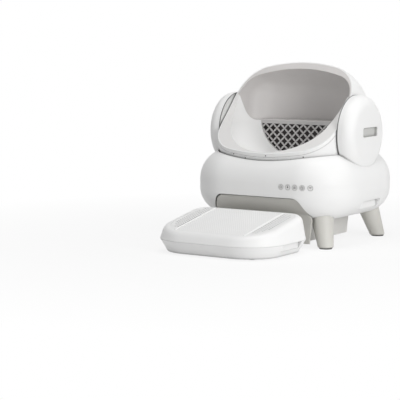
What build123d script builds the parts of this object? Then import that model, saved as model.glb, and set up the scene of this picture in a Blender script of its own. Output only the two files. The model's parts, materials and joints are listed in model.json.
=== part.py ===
"""Open-top self-cleaning litter box: rotating drum, side pods, waste drawer and entry step.

Millimetres. X runs to the right seen from the front, the front faces -Y, Z is up.
The pieces are modelled about the middle of the housing at floor level, and shifted
along Y on export so that the origin is the bottom centre of the whole object.
"""

from build123d import *
from math import asin, atan, cos, degrees, hypot, pi, radians, sin, sqrt, tan
import os

# General fits
OVERRUN = 5.0
FIT_GAP = 0.3
RUNNING_GAP = 0.05
PRESS_SEAT = 0.02

# Housing
BODY_HALF_WIDTH = 318.0
BODY_HALF_DEPTH = 286.0
BODY_CORNER = 175.0
BODY_BOTTOM = 98.0
BODY_TOP = 338.0
BODY_TOP_ROUND = 115.0
BODY_BOTTOM_ROUND = 95.0
BODY_WALL = 4.0

# Drum
DRUM_SETBACK = 24.0
DRUM_RADIUS = BODY_HALF_DEPTH - DRUM_SETBACK
DRUM_CROWN = 600.0
DRUM_END_INSET = 72.0
DRUM_HALF_WIDTH = BODY_HALF_WIDTH - DRUM_END_INSET
DRUM_SHOULDER = 135.0
DRUM_LOW_Z = 136.0
DRUM_AXIS_Z = DRUM_LOW_Z + DRUM_RADIUS
DRUM_WALL = 4.0
DRUM_GAP = 6.0
LIP_SEAM_DROP = 12.0
LIP_SEAM_WIDTH = 1.2
HOOD_DEPTH = 24.0
HOOD_END_DEPTH = 7.0
HOOD_SHOULDER_DEPTH = 40.0
LINER_WALL = 3.0

# Mouth of the drum, seen from the side: front lip, sagging middle, top edge
MOUTH_FRONT_DROP = 66.0
MOUTH_FRONT_Z = DRUM_AXIS_Z - MOUTH_FRONT_DROP
MOUTH_TOP_Y = 62.0
MOUTH_TOP_DROP = 4.0
MOUTH_TOP_Z = DRUM_AXIS_Z + DRUM_RADIUS - MOUTH_TOP_DROP
MOUTH_SAG = 27.0

# Litter bowl and sieve inside the drum
BOWL_SIDE_INSET = 25.0
BOWL_HALF_WIDTH = DRUM_HALF_WIDTH - BOWL_SIDE_INSET
BOWL_OVERREACH = 20.0
BOWL_HALF_LENGTH = DRUM_RADIUS + BOWL_OVERREACH
BOWL_DEPTH = 165.0
BOWL_CENTRE_Y = -20.0
BOWL_LEVEL_RISE = 32.0
BOWL_LEVEL_Z = DRUM_AXIS_Z + BOWL_LEVEL_RISE
BOWL_WALL = 3.0
BOWL_FLARE = 13.0
SIEVE_Y = 88.0
SIEVE_WALL = 4.0
SIEVE_FRAME = 6.0
SIEVE_STRIP = 13.0
SIEVE_PITCH = 33.0
SIEVE_BAR = 3.6
SIEVE_BULGE = 1.3
SIEVE_LEAST_SHARE = 0.12
LINER_FRONT_Y = -34.0
LINER_FRONT_RISE = 147.0
LINER_FRONT_Z = DRUM_AXIS_Z + LINER_FRONT_RISE
LINER_LEAN = 63.0
LINER_CORNER = 80.0
HOOD_BACK_Y = 160.0
HOOD_BACK_RADIUS = 330.0
HOOD_BACK_LEAN = 9.0
HOOD_BACK_BLEND = 60.0
CHAMBER_SETBACK = 16.0
CHAMBER_WALL = 2.0

# Pods
POD_SIDE_INSET = 12.0
POD_OUTER_X = BODY_HALF_WIDTH - POD_SIDE_INSET
POD_DEPTH = 56.0
POD_INNER_X = POD_OUTER_X - POD_DEPTH
POD_RADIUS = 140.0
POD_ROUND = 42.0
POD_WALL = 3.5
GRIP_WIDTH = 114.0
GRIP_HEIGHT = 34.0
GRIP_DEPTH = 13.0
GRIP_ROUND = 8.0
GRIP_CENTRE_Y = 10.0
GRIP_RISE = 7.0
GRIP_WALL = 3.0

# Pod bracket, bearing and drive
BRACKET_WALL = 5.0
BRACKET_HALF_WIDTH = 78.0
BRACKET_FOOT_LENGTH = 58.0
BRACKET_FOOT_WALL = 6.0
BEARING_BOSS_RADIUS = 24.0
BEARING_BOSS_LENGTH = 3.5
BUSH_RADIUS = 17.0
SHAFT_RADIUS = 12.0
FLANGE_RADIUS = 60.0
FLANGE_WALL = 2.5
SHAFT_END_CLEAR = 8.0
GEAR_MODULE = 2.0
GEAR_TEETH = 72
PINION_TEETH = 12
GEAR_WALL = 9.0
GEAR_SETBACK = 1.5
GEAR_BACKLASH = 0.35
GEAR_ADDENDUM_SHARE = 0.75
GEAR_DEDENDUM_SHARE = 1.25
PRESSURE_ANGLE = 20.0
GEAR_WINDOW_RADIUS = 17.0
GEAR_WINDOW_CIRCLE = 44.0
GEAR_WINDOWS = 6
MOTOR_RADIUS = 24.0
MOTOR_LENGTH = 21.0
MOTOR_PLATE = 2.0
MOTOR_PLATE_HALF_WIDTH = 40.0
MOTOR_PLATE_MARGIN = 8.0
PINION_SHAFT_RADIUS = 3.0
PINION_SHAFT_SEAT = 8.0
STANDOFF_RADIUS = 4.0
STANDOFF_HALF_SPAN = 32.0
STANDOFF_UPPER_HALF_SPAN = 20.0
STANDOFF_UPPER_RISE = 26.0
SENSOR_WIDTH = 30.0
SENSOR_HEIGHT = 20.0
SENSOR_WALL = 6.0
SENSOR_DROP = 48.0

# Legs
LEG_FOOT_SIDE_INSET = 75.0
LEG_FOOT_END_INSET = 81.0
LEG_SIDE_SPLAY = 27.0
LEG_END_SPLAY = 23.0
LEG_FOOT_X = BODY_HALF_WIDTH - LEG_FOOT_SIDE_INSET
LEG_FOOT_Y = BODY_HALF_DEPTH - LEG_FOOT_END_INSET
LEG_TOP_X = LEG_FOOT_X - LEG_SIDE_SPLAY
LEG_TOP_Y = LEG_FOOT_Y - LEG_END_SPLAY
LEG_FOOT_RADIUS = 28.0
LEG_TOP_RADIUS = 40.0
LEG_FOOT_ROUND = 6.0
LEG_PAD = 3.0
LEG_PAD_INSET = 5.0
LEG_SPIGOT_RADIUS = 14.0
LEG_SPIGOT_HEIGHT = 12.0
LEG_SCREW_RADIUS = 3.0
LEG_SCREW_HEAD_RADIUS = 6.0
LEG_SCREW_HEAD = 4.0
LEG_SCREW_LENGTH = 30.0

# Chassis plate inside the housing
CHASSIS_WALL = 3.0
CHASSIS_MARGIN = 2.0
BOARD_HALF_LENGTH = 80.0
MAIN_BOARD_DEPTH = 26.0
MAIN_BOARD_END_INSET = 110.0
MAIN_BOARD_Y = BODY_HALF_DEPTH - MAIN_BOARD_END_INSET
MAIN_BOARD_RISE = 5.0
MAIN_BOARD_POST_RADIUS = 3.0
MAIN_BOARD_POST_INSET = 8.0
CELL_WIDTH = 14.0
CELL_LENGTH = 56.0
CELL_HEIGHT = 10.0
CELL_LEG_GAP_X = 22.0
CELL_LEG_GAP_Y = 60.0
CELL_X = LEG_TOP_X - CELL_LEG_GAP_X
CELL_Y = LEG_TOP_Y - CELL_LEG_GAP_Y

# Waste drawer
BIN_HALF_WIDTH = 162.0
BIN_DRAFT = 7.0
BIN_END_INSET = 136.0
BIN_BACK_Y = BODY_HALF_DEPTH - BIN_END_INSET
BIN_BOTTOM = 16.0
BIN_TOP = 125.0
BIN_WALL = 2.5
BIN_CORNER = 26.0
BIN_FLANGE = 10.0
BIN_FLANGE_WALL = 4.0
RAIL_WIDTH = 14.0
DRAWER_TOP_Z = 178.0
DRAWER_TOP_HALF_WIDTH = 166.0
DRAWER_LOW_HALF_WIDTH = 204.0
DRAWER_BASE_HALF_WIDTH = 194.0
DRAWER_TOP_ROUND = 34.0
DRAWER_SETBACK = 10.0
DRAWER_WALL = 8.0
DRAWER_SKIRT_SETBACK = 46.0
DRAWER_SKIRT_Y = DRAWER_SKIRT_SETBACK - BODY_HALF_DEPTH
DRAWER_GAP = 2.5
DRAWER_PULL_HALF_WIDTH = 70.0
DRAWER_PULL_HEIGHT = 16.0
DRAWER_PULL_Z = 52.0
DRAWER_PULL_DEPTH = 5.0
BAG_RING_WIDTH = 4.5
BAG_RING_HEIGHT = 5.0
DRAWER_SCREW_RADIUS = 2.0
DRAWER_SCREW_HEAD_RADIUS = 4.5
DRAWER_SCREW_HEAD = 2.2
DRAWER_SCREW_BITE = 5.0
DRAWER_SCREW_X = 120.0
DRAWER_SCREW_LOW_Z = 60.0
DRAWER_SCREW_HIGH_Z = 105.0

# Buttons
BUTTON_COUNT = 5
BUTTON_LEAD = 39.0
BUTTON_FIRST_X = BODY_HALF_WIDTH - BODY_CORNER - BUTTON_LEAD
BUTTON_PITCH = 27.6
BUTTON_Z = 220.0
BUTTON_RADIUS = 10.5
BUTTON_HEIGHT = 5.0
BUTTON_TRAVEL = 1.0
BUTTON_PROUD = 0.4
SWITCH_SIDE = 6.0
BOARD_POST_RADIUS = 2.5
BOARD_SETBACK = 13.0
BOARD_WALL = 1.6
BOARD_HEIGHT = 30.0
BOARD_END_MARGIN = 20.0

# Side scoops low on the housing
SCOOP_WIDTH = 140.0
SCOOP_HEIGHT = 30.0
SCOOP_CENTRE_Y = 18.0
SCOOP_CENTRE_Z = 143.0
SCOOP_DEPTH = 12.0
SCOOP_ROUND = 9.0

# Power inlet on the rear
INLET_X = 120.0
INLET_Z = 150.0
INLET_SIDE = 16.0
INLET_DEPTH = 18.0
INLET_BORE_RADIUS = 3.5
INLET_BORE_DEPTH = 9.0
INLET_PIN_RADIUS = 1.0

# Small screws on the drum's front band
DOT_RADIUS = 2.2
DOT_UPPER_DROP = 8.0
DOT_LOWER_DROP = 20.0
DOT_UPPER_SHARES = (-0.5, 0.08, 0.655)
DOT_LOWER_SHARES = (-0.285, 0.467)

# Entry step
STEP_WIDTH = 484.0
STEP_DEPTH = 345.0
STEP_GAP = 5.0
STEP_BACK_CORNER = 78.0
STEP_FRONT_CORNER = 142.0
STEP_BASE_BOTTOM = 4.0
STEP_PARTING_Z = 48.0
STEP_BASE_INSET = 26.0
STEP_TOP_INSET = 15.0
STEP_FRONT_Z = 76.0
STEP_BACK_Z = 141.0
STEP_WALL = 3.0
STEP_TOP_ROUND = 24.0
STEP_PAN_DEPTH = 2.2
STEP_RIB_WIDTH = 6.0
STEP_RIB_X = 140.0
STEP_MAT_WALL = 2.0
STEP_GRILLE_WALL = 2.0
STEP_PANEL_MARGIN = 23.0
STEP_SLOT_WIDTH = 4.5
STEP_SLOT_LENGTH = 8.5
STEP_SLOT_PITCH = 12.0
STEP_SLOT_COLUMNS = 4
STEP_SLOT_COLUMN = 12.0
STEP_SLOT_KEPT_SHARE = 0.999
STEP_WINDOW_MARGIN = 5.0
STEP_FOOT_RADIUS = 14.0
STEP_FOOT_X = 150.0
STEP_FOOT_Y = 95.0
STEP_NOTCH_WIDTH = 124.0
STEP_NOTCH_HEIGHT = 25.0
STEP_NOTCH_DEPTH = 16.0
STEP_NOTCH_Y = 27.0
STEP_NOTCH_ROUND = 5.0
STEP_LIP = 4.0

STEP_BACK_Y = -BODY_HALF_DEPTH - STEP_GAP
STEP_FRONT_Y = STEP_BACK_Y - STEP_DEPTH
FRAME_SHIFT_Y = -(STEP_FRONT_Y + BODY_HALF_DEPTH) / 2

SIDES = (("left", -1), ("right", 1))
ENDS = (("front", -1), ("rear", 1))


def block(low, high):
    """Box between two corner points."""
    size = Vector(*high) - Vector(*low)
    return Pos(*low) * Box(size.X, size.Y, size.Z, align=(Align.MIN,) * 3)


def rod_x(radius, x_from, x_to, y=0.0, z=DRUM_AXIS_Z):
    """Round bar along X between two X positions."""
    middle = (x_from + x_to) / 2
    return Pos(middle, y, z) * Rot(0, 90, 0) * Cylinder(radius, abs(x_to - x_from))


def rod_y(radius, y_from, y_to, x, z):
    """Round bar along Y between two Y positions."""
    middle = (y_from + y_to) / 2
    return Pos(x, middle, z) * Rot(90, 0, 0) * Cylinder(radius, abs(y_to - y_from))


def pillow(inset):
    """The housing's rounded form, drawn in by an inset on all sides."""
    outline = RectangleRounded(
        2 * (BODY_HALF_WIDTH - inset), 2 * (BODY_HALF_DEPTH - inset), BODY_CORNER - inset
    )
    solid = Pos(0, 0, BODY_BOTTOM + inset) * extrude(outline, BODY_TOP - BODY_BOTTOM - 2 * inset)
    by_height = solid.edges().group_by(Axis.Z)
    solid = fillet(by_height[-1], BODY_TOP_ROUND - inset)
    return fillet(solid.edges().group_by(Axis.Z)[0], BODY_BOTTOM_ROUND - inset)


def barrel(inset):
    """The drum's form of revolution about X, drawn in by an inset on all sides."""
    return barrel_form(inset, DRUM_SHOULDER - inset, DRUM_HALF_WIDTH - inset)


def barrel_form(inset, shoulder, end):
    """Form of revolution about X with a crowned girth, round shoulders and flat ends."""
    top = DRUM_RADIUS - inset
    crown = DRUM_CROWN - inset
    centre_x = end - shoulder
    centre_r = top - crown + sqrt((crown - shoulder) ** 2 - centre_x**2)
    lean = asin(centre_x / (crown - shoulder))
    tangent = (crown * sin(lean), top - crown + crown * cos(lean))
    mid_angle = (pi / 2 - lean) / 2
    shoulder_mid = (centre_x + shoulder * cos(mid_angle), centre_r + shoulder * sin(mid_angle))
    right = ThreePointArc(tangent, shoulder_mid, (end, centre_r))
    left = ThreePointArc(
        (-tangent[0], tangent[1]), (-shoulder_mid[0], shoulder_mid[1]), (-end, centre_r)
    )
    over = ThreePointArc((-tangent[0], tangent[1]), (0, top), tangent)
    floor = Polyline((-end, centre_r), (-end, 0), (end, 0), (end, centre_r))
    profile = Plane.XZ * make_face(Curve() + [left, over, right, floor])
    return Pos(0, 0, DRUM_AXIS_Z) * revolve(profile, Axis.X)


def mouth_curve():
    """Front lip, sagging middle and top edge of the drum's mouth in the YZ plane."""
    drop = DRUM_AXIS_Z - MOUTH_FRONT_Z
    front = (-sqrt(DRUM_RADIUS**2 - drop**2), MOUTH_FRONT_Z)
    top = (MOUTH_TOP_Y, MOUTH_TOP_Z)
    run, rise = top[0] - front[0], top[1] - front[1]
    length = hypot(run, rise)
    middle = (
        (front[0] + top[0]) / 2 + MOUTH_SAG * rise / length,
        (front[1] + top[1]) / 2 - MOUTH_SAG * run / length,
    )
    return front, middle, top


def mouth_cut(depth):
    """Everything in front of and above the mouth surface, moved inward by a depth."""
    front, middle, top = mouth_curve()
    run, rise = top[0] - front[0], top[1] - front[1]
    length = hypot(run, rise)
    inward = (rise / length * depth, -run / length * depth)
    along = (run / length * DRUM_RADIUS, rise / length * DRUM_RADIUS)
    low = (front[0] + inward[0], front[1] + inward[1])
    mid = (middle[0] + inward[0], middle[1] + inward[1])
    high = (top[0] + inward[0], top[1] + inward[1])
    low_out = (low[0] - along[0], low[1] - along[1])
    high_out = (high[0] + along[0], high[1] + along[1])
    away = (-rise / length * 2 * DRUM_RADIUS, run / length * 2 * DRUM_RADIUS)
    edges = Curve() + [
        ThreePointArc(low, mid, high),
        Polyline(
            high,
            high_out,
            (high_out[0] + away[0], high_out[1] + away[1]),
            (low_out[0] + away[0], low_out[1] + away[1]),
            low_out,
            low,
        ),
    ]
    face = Plane.YZ * make_face(edges)
    return extrude(face, DRUM_HALF_WIDTH + OVERRUN, both=True)


def liner_region(grow=0.0):
    """Upper rear part of the drum that the hood liner lines, grown forward and down."""
    back = DRUM_RADIUS + OVERRUN
    top = DRUM_AXIS_Z + back
    level = BOWL_LEVEL_Z - grow
    lean = tan(radians(LINER_LEAN))
    front = LINER_FRONT_Y - grow / sin(radians(LINER_LEAN))
    points = [
        (front + (LINER_FRONT_Z - level) / lean, level),
        (back, level),
        (back, top),
        (front - (top - LINER_FRONT_Z) / lean, top),
    ]
    face = Sketch() + make_face(Polyline(*points, close=True))
    corner = face.vertices().sort_by(Axis.Y)[:2].sort_by(Axis.X)[:1]
    face = Plane.YZ * fillet(corner, LINER_CORNER + grow)
    return extrude(face, DRUM_HALF_WIDTH + OVERRUN, both=True)


def mouth_band():
    """Thin slab that follows the mouth surface, for the rims of the drum's lining."""
    return mouth_cut(LINER_WALL) - mouth_cut(0)


def hood_hollow(inset):
    """Space under the hood: the drum's form cut by a leaning concave back."""
    back = Cylinder(HOOD_BACK_RADIUS - inset, 2 * DRUM_RADIUS)
    back = Rot(-HOOD_BACK_LEAN, 0, 0) * back
    back = Pos(0, HOOD_BACK_Y - HOOD_BACK_RADIUS, BOWL_LEVEL_Z) * back
    dome = barrel_form(
        HOOD_DEPTH + inset,
        DRUM_SHOULDER - HOOD_SHOULDER_DEPTH - inset,
        DRUM_HALF_WIDTH - HOOD_END_DEPTH - inset,
    )
    hollow = dome & back
    seam = hollow.faces().filter_by(GeomType.CYLINDER).sort_by(Axis.Y)[-1].edges()
    return fillet(seam, HOOD_BACK_BLEND - inset)


def bowl_hollow(inset):
    """Space of the litter bowl: a half ellipsoid with straight sides above it."""
    half_width = BOWL_HALF_WIDTH - inset
    half_length = BOWL_HALF_LENGTH - inset
    depth = BOWL_DEPTH - inset
    ball = scale(Sphere(depth), by=(half_width / depth, half_length / depth, 1))
    lower = ball - Pos(0, 0, DRUM_RADIUS) * Box(*[2 * DRUM_RADIUS] * 3)
    rise = 2 * (LINER_FRONT_Z - BOWL_LEVEL_Z)
    flared = Ellipse(half_width + 2 * BOWL_FLARE, half_length + 2 * BOWL_FLARE)
    upper = loft([Sketch() + Ellipse(half_width, half_length), Pos(0, 0, rise) * flared], ruled=True)
    return Pos(0, BOWL_CENTRE_Y, BOWL_LEVEL_Z) * (lower + upper)


def upright(sketch, y):
    """Turn a sketch of X and Z to stand at a Y position, ready to extrude towards the front."""
    return Pos(0, y, 0) * (Plane.XZ * sketch)


def sieve_outline(inset, drop):
    """Half ellipse where the sieve's plane cuts the bowl, hung a drop below the bowl's level."""
    share = sqrt(1 - ((SIEVE_Y - BOWL_CENTRE_Y) / BOWL_HALF_LENGTH) ** 2)
    full = Ellipse(BOWL_HALF_WIDTH * share - inset, BOWL_DEPTH * share - inset)
    lower = Pos(0, -drop - DRUM_RADIUS) * Rectangle(2 * DRUM_RADIUS, 2 * DRUM_RADIUS)
    return Pos(0, BOWL_LEVEL_Z) * (full & lower)


def side_inset(z):
    """How far the housing's side is drawn in at a height by its rounded edges."""
    low = max(BODY_BOTTOM + BODY_BOTTOM_ROUND - z, 0)
    high = max(z - BODY_TOP + BODY_TOP_ROUND, 0)
    lower = BODY_BOTTOM_ROUND - sqrt(BODY_BOTTOM_ROUND**2 - low**2)
    upper = BODY_TOP_ROUND - sqrt(BODY_TOP_ROUND**2 - high**2)
    return lower + upper


# Drum


def make_drum_shell():
    shell = barrel(0) - barrel(DRUM_WALL) - mouth_cut(0)
    seam = (mouth_cut(LIP_SEAM_DROP + LIP_SEAM_WIDTH) - mouth_cut(LIP_SEAM_DROP)) - liner_region()
    shell -= seam - barrel(LIP_SEAM_WIDTH)
    return shell - dot_rods()


def dot_rods():
    """Rods along Y through the places of the drum's small front screws."""
    rods = []
    for shares, drop in ((DOT_UPPER_SHARES, DOT_UPPER_DROP), (DOT_LOWER_SHARES, DOT_LOWER_DROP)):
        z = MOUTH_FRONT_Z - drop
        for share in shares:
            x = share * DRUM_HALF_WIDTH
            rods.append(rod_y(DOT_RADIUS, -DRUM_RADIUS - OVERRUN, -DRUM_RADIUS / 2, x, z))
    return Part() + rods


def make_drum_rim_screws():
    return dot_rods() & (barrel(0) - barrel(DRUM_WALL))


def make_hood_liner():
    region = liner_region()
    wall = ((hood_hollow(0) - hood_hollow(LINER_WALL)) & region) - mouth_cut(0)
    rim = (barrel(DRUM_WALL) - hood_hollow(0)) & region & mouth_band()
    reach = 2 * DRUM_RADIUS
    low = block((-reach, SIEVE_Y, BOWL_LEVEL_Z), (reach, reach, BOWL_LEVEL_Z + LINER_WALL))
    shelf = hood_hollow(0) & low
    return wall + rim + shelf


def make_litter_bowl():
    region = liner_region()
    reach = 2 * DRUM_RADIUS
    front = block((-reach, -reach, 0), (reach, SIEVE_Y, DRUM_AXIS_Z + reach))
    inner = barrel(DRUM_WALL)
    wall = ((bowl_hollow(0) - bowl_hollow(BOWL_WALL)) & inner & front) - mouth_cut(0) - region
    around = (inner & front) - bowl_hollow(0) - mouth_cut(0) - region
    return wall + (around & mouth_band()) + (around & liner_region(BOWL_WALL))


def make_sieve_grate():
    """Flat net of diamond gaps in a frame, at the back of the bowl; its bars swell midway."""
    field = sieve_outline(SIEVE_FRAME, SIEVE_STRIP)
    box = field.bounding_box()
    half = SIEVE_PITCH / 2
    tip = half - SIEVE_BAR / sqrt(2)
    waist = tip / 2 - SIEVE_BULGE / sqrt(2)
    turns = ((1, 1), (-1, 1), (-1, -1), (1, -1))
    corners_of_gap = []
    for (sx, sz), point in zip(turns, ((tip, 0), (0, tip), (-tip, 0), (0, -tip))):
        corners_of_gap += [point, (sx * waist, sz * waist)]
    gap = Sketch() + Polygon(*corners_of_gap, align=None)
    columns = int(box.max.X / SIEVE_PITCH) + 1
    gaps = []
    for row in range(int((box.max.Y - box.min.Y) / half) + 2):
        for column in range(-columns, columns + 1):
            x = column * SIEVE_PITCH + half * (row % 2)
            kept = Pos(x, box.max.Y - half * row) * gap & field
            if kept and kept.area > gap.area * SIEVE_LEAST_SHARE:
                gaps.append(kept)
    net = sieve_outline(0, 0) - gaps
    return extrude(upright(net, SIEVE_Y + SIEVE_WALL), SIEVE_WALL)


def make_clump_tray():
    """Shallow dark tray behind the sieve."""
    front_y = SIEVE_Y + SIEVE_WALL
    back_y = front_y + CHAMBER_SETBACK
    outline = sieve_outline(0, 0)
    wall = extrude(upright(outline - sieve_outline(SIEVE_FRAME, SIEVE_STRIP), back_y), back_y - front_y)
    return wall + extrude(upright(outline, back_y + CHAMBER_WALL), CHAMBER_WALL)


# Side pods, brackets, bearings and drive


def pod_form(inset):
    """Round pod on the right side, drawn in by an inset on its outer faces."""
    top = POD_RADIUS - inset
    outer = POD_OUTER_X - inset
    bend = POD_ROUND - inset
    half_bend = bend / sqrt(2)
    profile = make_face(
        Curve()
        + [
            Polyline(
                (outer - bend, top),
                (POD_INNER_X, top),
                (POD_INNER_X, 0),
                (outer, 0),
                (outer, top - bend),
            ),
            ThreePointArc(
                (outer, top - bend),
                (outer - bend + half_bend, top - bend + half_bend),
                (outer - bend, top),
            ),
        ]
    )
    return Pos(0, 0, DRUM_AXIS_Z) * revolve(Plane.XZ * profile, Axis.X)


def grip_block(margin):
    """Rounded block at the place of the grip recess, grown by a margin."""
    size = (2 * GRIP_DEPTH + 2 * margin, GRIP_WIDTH + 2 * margin, GRIP_HEIGHT + 2 * margin)
    form = Box(*size)
    form = fillet(form.edges().filter_by(Axis.X), GRIP_ROUND + margin)
    return Pos(POD_OUTER_X, GRIP_CENTRE_Y, DRUM_AXIS_Z + GRIP_RISE) * form


def to_side(piece, sign):
    """Leave a right-hand piece as it is, or mirror it to the left."""
    return piece if sign > 0 else mirror(piece, Plane.YZ)


def make_pod_cover():
    shell = pod_form(0) - pod_form(POD_WALL) - pillow(0)
    pocket = (grip_block(GRIP_WALL) & pod_form(0)) - pillow(0)
    return shell + pocket - grip_block(0)


def make_grip_insert():
    """Grey lining of the grip recess: a floor and a thin wall round it."""
    lining = grip_block(0) - Pos(GRIP_WALL / 2, 0, 0) * grip_block(-GRIP_WALL / 2)
    return lining & pod_form(POD_WALL)


def bearing_end():
    return POD_INNER_X + BRACKET_WALL + BEARING_BOSS_LENGTH


def make_pod_bracket():
    """Upright that carries the drum's bearing and closes the pod's inner side."""
    x_out = POD_INNER_X + BRACKET_WALL
    head = rod_x(POD_RADIUS - POD_WALL - FIT_GAP, POD_INNER_X, x_out) - pillow(0)
    floor_z = BODY_BOTTOM + BODY_WALL + CHASSIS_WALL
    neck = block(
        (POD_INNER_X, -BRACKET_HALF_WIDTH, floor_z), (x_out, BRACKET_HALF_WIDTH, DRUM_AXIS_Z)
    )
    foot = block(
        (x_out - BRACKET_FOOT_LENGTH, -BRACKET_HALF_WIDTH, floor_z),
        (x_out, BRACKET_HALF_WIDTH, floor_z + BRACKET_FOOT_WALL),
    )
    upper = Pos(0, 0, BODY_TOP - BODY_TOP_ROUND) * block(
        (0, -DRUM_RADIUS, 0), (BODY_HALF_WIDTH, DRUM_RADIUS, DRUM_RADIUS)
    )
    stem = (neck & pillow(BODY_WALL + FIT_GAP)) + (neck & upper)
    stem += foot & pillow(BODY_WALL + FIT_GAP)
    boss = rod_x(BEARING_BOSS_RADIUS, x_out, bearing_end())
    return head + stem + boss - rod_x(BUSH_RADIUS + PRESS_SEAT, POD_INNER_X, bearing_end())


def make_bearing_bush():
    ring = rod_x(BUSH_RADIUS, POD_INNER_X, bearing_end())
    return ring - rod_x(SHAFT_RADIUS + RUNNING_GAP, POD_INNER_X, bearing_end())


def make_trunnion():
    """Flange screwed to the drum's end, with the shaft that turns in the bush."""
    flange = rod_x(FLANGE_RADIUS, DRUM_HALF_WIDTH, DRUM_HALF_WIDTH + FLANGE_WALL)
    return flange + rod_x(SHAFT_RADIUS, DRUM_HALF_WIDTH, POD_OUTER_X - GRIP_DEPTH - SHAFT_END_CLEAR)


def gear_face(teeth):
    """Involute toothed wheel, with its first tooth centred on the sketch's X axis."""
    pitch = GEAR_MODULE * teeth / 2
    base = pitch * cos(radians(PRESSURE_ANGLE))
    tip = pitch + GEAR_ADDENDUM_SHARE * GEAR_MODULE
    root = pitch - GEAR_DEDENDUM_SHARE * GEAR_MODULE
    roll = tan(radians(PRESSURE_ANGLE)) - radians(PRESSURE_ANGLE)
    half = (pi * GEAR_MODULE / 2 - GEAR_BACKLASH) / (2 * pitch) + roll
    low = max(base, root)
    flank = []
    for step in range(5):
        radius = low + (tip - low) * step / 4
        turn = sqrt(max((radius / base) ** 2 - 1, 0))
        flank.append((radius, half - (turn - atan(turn))))
    if root < base:
        flank.insert(0, (root, flank[0][1]))
    side = [(radius, -angle) for radius, angle in flank] + flank[::-1]
    points = []
    for tooth in range(teeth):
        centre = 2 * pi * tooth / teeth
        points += [(r * cos(centre + a), r * sin(centre + a)) for r, a in side]
    return make_face(Polyline(*points, close=True))


def gear_start():
    return bearing_end() + GEAR_SETBACK


def pinion_rise():
    return GEAR_MODULE * (GEAR_TEETH + PINION_TEETH) / 2


def make_drum_gear():
    turn = 180 / GEAR_TEETH
    wheel = Plane.YZ * (Rot(0, 0, turn) * gear_face(GEAR_TEETH))
    wheel = Pos(gear_start(), 0, DRUM_AXIS_Z) * extrude(wheel, GEAR_WALL)
    for window in range(GEAR_WINDOWS):
        angle = 2 * pi * window / GEAR_WINDOWS
        y, z = GEAR_WINDOW_CIRCLE * cos(angle), GEAR_WINDOW_CIRCLE * sin(angle)
        wheel -= rod_x(
            GEAR_WINDOW_RADIUS, gear_start(), gear_start() + GEAR_WALL, y, DRUM_AXIS_Z + z
        )
    return wheel - rod_x(SHAFT_RADIUS + PRESS_SEAT, gear_start(), gear_start() + GEAR_WALL)


def motor_plate_start():
    return gear_start() + GEAR_WALL + GEAR_SETBACK


def make_drive_pinion():
    z = DRUM_AXIS_Z + pinion_rise()
    wheel = Pos(gear_start(), 0, z) * extrude(Plane.YZ * gear_face(PINION_TEETH), GEAR_WALL)
    end = motor_plate_start() + MOTOR_PLATE + PINION_SHAFT_SEAT
    return wheel + rod_x(PINION_SHAFT_RADIUS, gear_start(), end, 0, z)


def make_drive_motor():
    z = DRUM_AXIS_Z + pinion_rise()
    start = motor_plate_start() + MOTOR_PLATE
    can = rod_x(MOTOR_RADIUS, start, start + MOTOR_LENGTH, 0, z)
    seat = rod_x(PINION_SHAFT_RADIUS + RUNNING_GAP, start, start + PINION_SHAFT_SEAT + FIT_GAP, 0, z)
    return can - seat


def make_motor_plate():
    """Plate that holds the motor, on four standoffs from the bracket."""
    z = DRUM_AXIS_Z + pinion_rise()
    start = motor_plate_start()
    reach = MOTOR_RADIUS + MOTOR_PLATE_MARGIN
    plate = block(
        (start, -MOTOR_PLATE_HALF_WIDTH, z - reach),
        (start + MOTOR_PLATE, MOTOR_PLATE_HALF_WIDTH, z + reach),
    )
    plate = fillet(plate.edges().filter_by(Axis.X), MOTOR_PLATE_MARGIN)
    plate -= rod_x(PINION_SHAFT_RADIUS + FIT_GAP, start, start + MOTOR_PLATE, 0, z)
    spots = [(y, z) for y in (-STANDOFF_HALF_SPAN, STANDOFF_HALF_SPAN)]
    upper = STANDOFF_UPPER_HALF_SPAN
    spots += [(y, z + STANDOFF_UPPER_RISE) for y in (-upper, upper)]
    for y, height in spots:
        plate += rod_x(STANDOFF_RADIUS, POD_INNER_X + BRACKET_WALL, start, y, height)
    return plate


def make_position_sensor():
    """Small sensor block on the left bracket, below the shaft."""
    x = -POD_INNER_X - BRACKET_WALL
    z = DRUM_AXIS_Z - SENSOR_DROP
    return block(
        (x - SENSOR_WALL, -SENSOR_WIDTH / 2, z - SENSOR_HEIGHT / 2),
        (x, SENSOR_WIDTH / 2, z + SENSOR_HEIGHT / 2),
    )


# Housing, chassis and legs


def drawer_outline(gap):
    """Outline of the drawer front in X and Z, grown by a gap."""
    low_z = BODY_BOTTOM + BODY_WALL
    face = make_face(
        Polyline(
            (-DRAWER_BASE_HALF_WIDTH, BIN_BOTTOM),
            (DRAWER_BASE_HALF_WIDTH, BIN_BOTTOM),
            (DRAWER_LOW_HALF_WIDTH, low_z),
            (DRAWER_TOP_HALF_WIDTH, DRAWER_TOP_Z),
            (-DRAWER_TOP_HALF_WIDTH, DRAWER_TOP_Z),
            (-DRAWER_LOW_HALF_WIDTH, low_z),
            close=True,
        )
    )
    face = fillet(face.vertices().group_by(Axis.Y)[-1], DRAWER_TOP_ROUND)
    return offset(face, gap, kind=Kind.INTERSECTION) if gap else face


def button_spots():
    """Place, outward direction and turn about Z of each button on the housing's front."""
    start_x = BODY_HALF_WIDTH - BODY_CORNER
    start_y = BODY_HALF_DEPTH - BODY_CORNER
    spots = []
    for number in range(BUTTON_COUNT):
        x = BUTTON_FIRST_X + BUTTON_PITCH * number
        turn = asin(max(x - start_x, 0) / BODY_CORNER)
        y = -start_y - BODY_CORNER * cos(turn)
        spots.append((Vector(x, y, BUTTON_Z), Vector(sin(turn), -cos(turn), 0), degrees(turn)))
    return spots


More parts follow.
